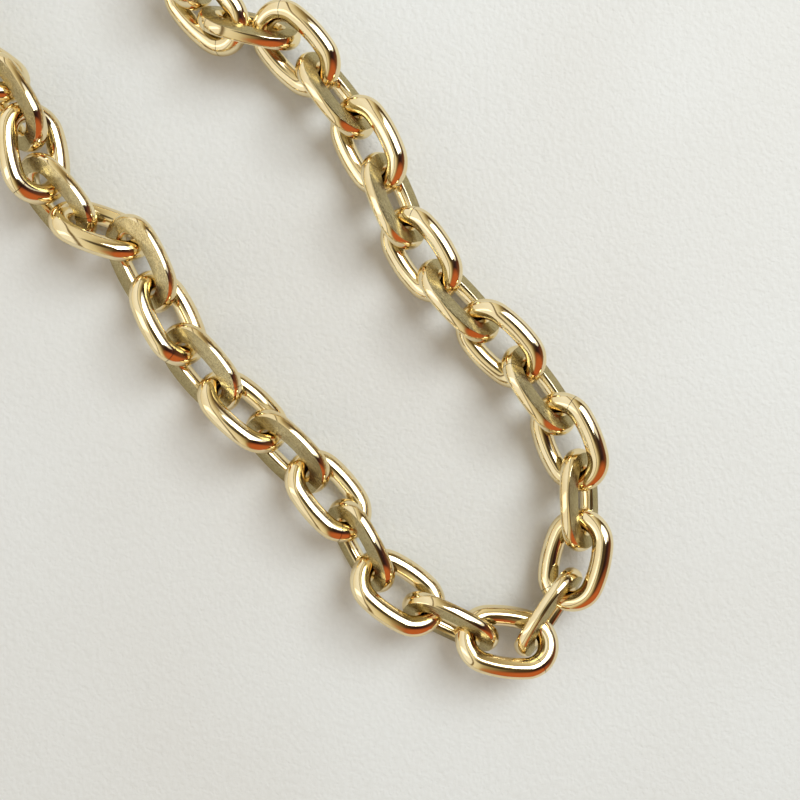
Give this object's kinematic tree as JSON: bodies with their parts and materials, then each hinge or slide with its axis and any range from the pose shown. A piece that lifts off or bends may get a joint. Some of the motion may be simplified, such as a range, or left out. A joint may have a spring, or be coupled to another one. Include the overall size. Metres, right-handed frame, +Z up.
{
  "type": "chain necklace",
  "caption": "Chunky chain necklace of alternating plain and milled oval links with a lobster clasp, unclasped and lying in a loop.",
  "frame": {"origin": "on the table, under the middle of the whole necklace as it lies", "axes": "+Z up from the table, +Y from the front of the necklace towards the clasp, +X to the right of that"},
  "size_m": [0.0856, 0.2566, 0.0169],
  "materials": {
    "milled_links": "gold-tone anodised, milled facets over polished wire",
    "plain_links": "gold-tone anodised, polished",
    "findings": "pale gold plate, polished",
    "steel": "bright steel"
  },
  "bodies": {
    "end_ring": {"end_ring": "findings"},
    "link_01": {"link_01_plain": "plain_links"},
    "link_02": {"link_02_milled": "milled_links"},
    "link_03": {"link_03_plain": "plain_links"},
    "link_04": {"link_04_milled": "milled_links"},
    "link_05": {"link_05_plain": "plain_links"},
    "link_06": {"link_06_milled": "milled_links"},
    "link_07": {"link_07_plain": "plain_links"},
    "link_08": {"link_08_milled": "milled_links"},
    "link_09": {"link_09_plain": "plain_links"},
    "link_10": {"link_10_milled": "milled_links"},
    "link_11": {"link_11_plain": "plain_links"},
    "link_12": {"link_12_milled": "milled_links"},
    "link_13": {"link_13_plain": "plain_links"},
    "link_14": {"link_14_milled": "milled_links"},
    "link_15": {"link_15_plain": "plain_links"},
    "link_16": {"link_16_milled": "milled_links"},
    "link_17": {"link_17_plain": "plain_links"},
    "link_18": {"link_18_milled": "milled_links"},
    "link_19": {"link_19_plain": "plain_links"},
    "link_20": {"link_20_milled": "milled_links"},
    "link_21": {"link_21_plain": "plain_links"},
    "link_22": {"link_22_milled": "milled_links"},
    "link_23": {"link_23_plain": "plain_links"},
    "link_24": {"link_24_milled": "milled_links"},
    "link_25": {"link_25_plain": "plain_links"},
    "link_26": {"link_26_milled": "milled_links"},
    "link_27": {"link_27_plain": "plain_links"},
    "link_28": {"link_28_milled": "milled_links"},
    "link_29": {"link_29_plain": "plain_links"},
    "link_30": {"link_30_milled": "milled_links"},
    "link_31": {"link_31_plain": "plain_links"},
    "link_32": {"link_32_milled": "milled_links"},
    "link_33": {"link_33_plain": "plain_links"},
    "link_34": {"link_34_milled": "milled_links"},
    "link_35": {"link_35_plain": "plain_links"},
    "link_36": {"link_36_milled": "milled_links"},
    "link_37": {"link_37_plain": "plain_links"},
    "clasp_ring": {"clasp_ring": "findings"},
    "clasp": {"clasp_body": "findings", "clasp_rivet": "steel", "clasp_spring": "steel"},
    "clasp_lever": {"clasp_lever": "findings"}
  },
  "joints": [
    {"name": "link_21_bend", "type": "hinge", "parent": "link_20", "child": "link_21", "pos_m": [-0.01057, -0.10286, 0.00847], "axis": [0, 0, -1], "range_deg": [-18, 9]},
    {"name": "link_22_bend", "type": "hinge", "parent": "link_21", "child": "link_22", "pos_m": [-0.01557, -0.09279, 0.00798], "axis": [0, 0, 1], "range_deg": [-10, 14]},
    {"name": "link_23_bend", "type": "hinge", "parent": "link_22", "child": "link_23", "pos_m": [-0.01427, -0.0781, 0.00749], "axis": [0, 0, -1], "range_deg": [-18, 10]},
    {"name": "link_24_bend", "type": "hinge", "parent": "link_23", "child": "link_24", "pos_m": [-0.01645, -0.06616, 0.0074], "axis": [0, 0, 1], "range_deg": [-11, 17]},
    {"name": "link_25_bend", "type": "hinge", "parent": "link_24", "child": "link_25", "pos_m": [-0.02028, -0.0531, 0.00748], "axis": [0, 0, -1], "range_deg": [-18, 12]},
    {"name": "link_26_bend", "type": "hinge", "parent": "link_25", "child": "link_26", "pos_m": [-0.02453, -0.0407, 0.00728], "axis": [0, 0, 1], "range_deg": [-13, 16]},
    {"name": "link_27_bend", "type": "hinge", "parent": "link_26", "child": "link_27", "pos_m": [-0.02713, -0.02831, 0.0075], "axis": [0, 0, -1], "range_deg": [-16, 14]},
    {"name": "link_28_bend", "type": "hinge", "parent": "link_27", "child": "link_28", "pos_m": [-0.02596, -0.01473, 0.00768], "axis": [0, 0, 1], "range_deg": [-16, 17]},
    {"name": "link_29_bend", "type": "hinge", "parent": "link_28", "child": "link_29", "pos_m": [-0.02426, -0.00218, 0.00751], "axis": [0, 0, -1], "range_deg": [-13, 18]},
    {"name": "link_30_bend", "type": "hinge", "parent": "link_29", "child": "link_30", "pos_m": [-0.03437, 0.00753, 0.0078], "axis": [0, 0, 1], "range_deg": [-12, 22]},
    {"name": "link_31_bend", "type": "hinge", "parent": "link_30", "child": "link_31", "pos_m": [-0.03667, 0.01756, 0.00869], "axis": [0, 0, -1], "range_deg": [-9, 19]},
    {"name": "link_32_bend", "type": "hinge", "parent": "link_31", "child": "link_32", "pos_m": [-0.03066, 0.02982, 0.00978], "axis": [0, 0, 1], "range_deg": [-16, 17]},
    {"name": "link_33_bend", "type": "hinge", "parent": "link_32", "child": "link_33", "pos_m": [-0.03114, 0.04113, 0.00985], "axis": [0, 0, -1], "range_deg": [-20, 19]},
    {"name": "link_34_bend", "type": "hinge", "parent": "link_33", "child": "link_34", "pos_m": [-0.03786, 0.05102, 0.00843], "axis": [0, 0, 1], "range_deg": [-18, 20]},
    {"name": "link_35_bend", "type": "hinge", "parent": "link_34", "child": "link_35", "pos_m": [-0.03743, 0.06395, 0.00806], "axis": [0, 0, -1], "range_deg": [-18, 19]},
    {"name": "link_36_bend", "type": "hinge", "parent": "link_35", "child": "link_36", "pos_m": [-0.03321, 0.07508, 0.00833], "axis": [0, 0, 1], "range_deg": [-16, 17]},
    {"name": "link_37_bend", "type": "hinge", "parent": "link_36", "child": "link_37", "pos_m": [-0.03176, 0.08865, 0.00823], "axis": [0, 0, -1], "range_deg": [-16, 17]},
    {"name": "clasp_ring_turn", "type": "hinge", "parent": "link_37", "child": "clasp_ring", "pos_m": [-0.02755, 0.10102, 0.00792], "axis": [0, 0, 1], "range_deg": [-30, 30]},
    {"name": "clasp_swing", "type": "hinge", "parent": "clasp_ring", "child": "clasp", "pos_m": [-0.0237, 0.10869, 0.00657], "axis": [0, 0, -1], "range_deg": [-30, 30]},
    {"name": "link_19_bend", "type": "hinge", "parent": "link_20", "child": "link_19", "pos_m": [-0.00188, -0.11585, 0.00851], "axis": [0, 0, -1], "range_deg": [-9, 12]},
    {"name": "link_18_bend", "type": "hinge", "parent": "link_19", "child": "link_18", "pos_m": [0.00525, -0.12212, 0.00728], "axis": [0, 0, 1], "range_deg": [-22, 8]},
    {"name": "link_17_bend", "type": "hinge", "parent": "link_18", "child": "link_17", "pos_m": [0.02036, -0.11521, 0.00747], "axis": [0, 0, -1], "range_deg": [-9, 22]},
    {"name": "link_16_bend", "type": "hinge", "parent": "link_17", "child": "link_16", "pos_m": [0.02779, -0.10759, 0.00739], "axis": [0, 0, 1], "range_deg": [-11, 10]},
    {"name": "link_15_bend", "type": "hinge", "parent": "link_16", "child": "link_15", "pos_m": [0.03515, -0.0943, 0.00756], "axis": [0, 0, -1], "range_deg": [-11, 16]},
    {"name": "link_14_bend", "type": "hinge", "parent": "link_15", "child": "link_14", "pos_m": [0.03677, -0.08222, 0.00768], "axis": [0, 0, 1], "range_deg": [-15, 12]},
    {"name": "link_13_bend", "type": "hinge", "parent": "link_14", "child": "link_13", "pos_m": [0.03517, -0.06816, 0.0076], "axis": [0, 0, -1], "range_deg": [-13, 17]},
    {"name": "link_12_bend", "type": "hinge", "parent": "link_13", "child": "link_12", "pos_m": [0.03184, -0.0565, 0.00787], "axis": [0, 0, 1], "range_deg": [-19, 14]},
    {"name": "link_11_bend", "type": "hinge", "parent": "link_12", "child": "link_11", "pos_m": [0.02852, -0.04279, 0.00775], "axis": [0, 0, -1], "range_deg": [-15, 19]},
    {"name": "link_10_bend", "type": "hinge", "parent": "link_11", "child": "link_10", "pos_m": [0.02762, -0.03068, 0.00783], "axis": [0, 0, 1], "range_deg": [-20, 17]},
    {"name": "link_09_bend", "type": "hinge", "parent": "link_10", "child": "link_09", "pos_m": [0.02999, -0.01675, 0.00812], "axis": [0, 0, -1], "range_deg": [-19, 18]},
    {"name": "link_08_bend", "type": "hinge", "parent": "link_09", "child": "link_08", "pos_m": [0.03052, -0.00462, 0.00797], "axis": [0, 0, 1], "range_deg": [-18, 19]},
    {"name": "link_07_bend", "type": "hinge", "parent": "link_08", "child": "link_07", "pos_m": [0.02846, 0.00933, 0.00839], "axis": [0, 0, -1], "range_deg": [-19, 17]},
    {"name": "link_06_bend", "type": "hinge", "parent": "link_07", "child": "link_06", "pos_m": [0.02615, 0.02054, 0.00864], "axis": [0, 0, 1], "range_deg": [-19, 18]},
    {"name": "link_05_bend", "type": "hinge", "parent": "link_06", "child": "link_05", "pos_m": [0.01524, 0.02741, 0.0082], "axis": [0, 0, -1], "range_deg": [-18, 14]},
    {"name": "link_04_bend", "type": "hinge", "parent": "link_05", "child": "link_04", "pos_m": [0.0124, 0.0401, 0.00821], "axis": [0, 0, 1], "range_deg": [-14, 12]},
    {"name": "link_03_bend", "type": "hinge", "parent": "link_04", "child": "link_03", "pos_m": [0.0187, 0.05038, 0.00989], "axis": [0, 0, -1], "range_deg": [-20, 21]},
    {"name": "link_02_bend", "type": "hinge", "parent": "link_03", "child": "link_02", "pos_m": [0.0169, 0.06158, 0.00994], "axis": [0, 0, 1], "range_deg": [-20, 20]},
    {"name": "link_01_bend", "type": "hinge", "parent": "link_02", "child": "link_01", "pos_m": [0.01694, 0.07538, 0.0082], "axis": [0, 0, -1], "range_deg": [-18, 17]},
    {"name": "end_ring_turn", "type": "hinge", "parent": "link_01", "child": "end_ring", "pos_m": [0.01442, 0.0876, 0.00663], "axis": [0, 0, 1], "range_deg": [-30, 30]},
    {"name": "clasp_lever_press", "type": "hinge", "parent": "clasp", "child": "clasp_lever", "pos_m": [-0.02051, 0.11524, 0.00584], "axis": [-0.2841, 0.0293, -0.9583], "range_deg": [0, 30], "stiffness_Nm_per_rad": 0.004, "springref_deg": -17.19}
  ]
}
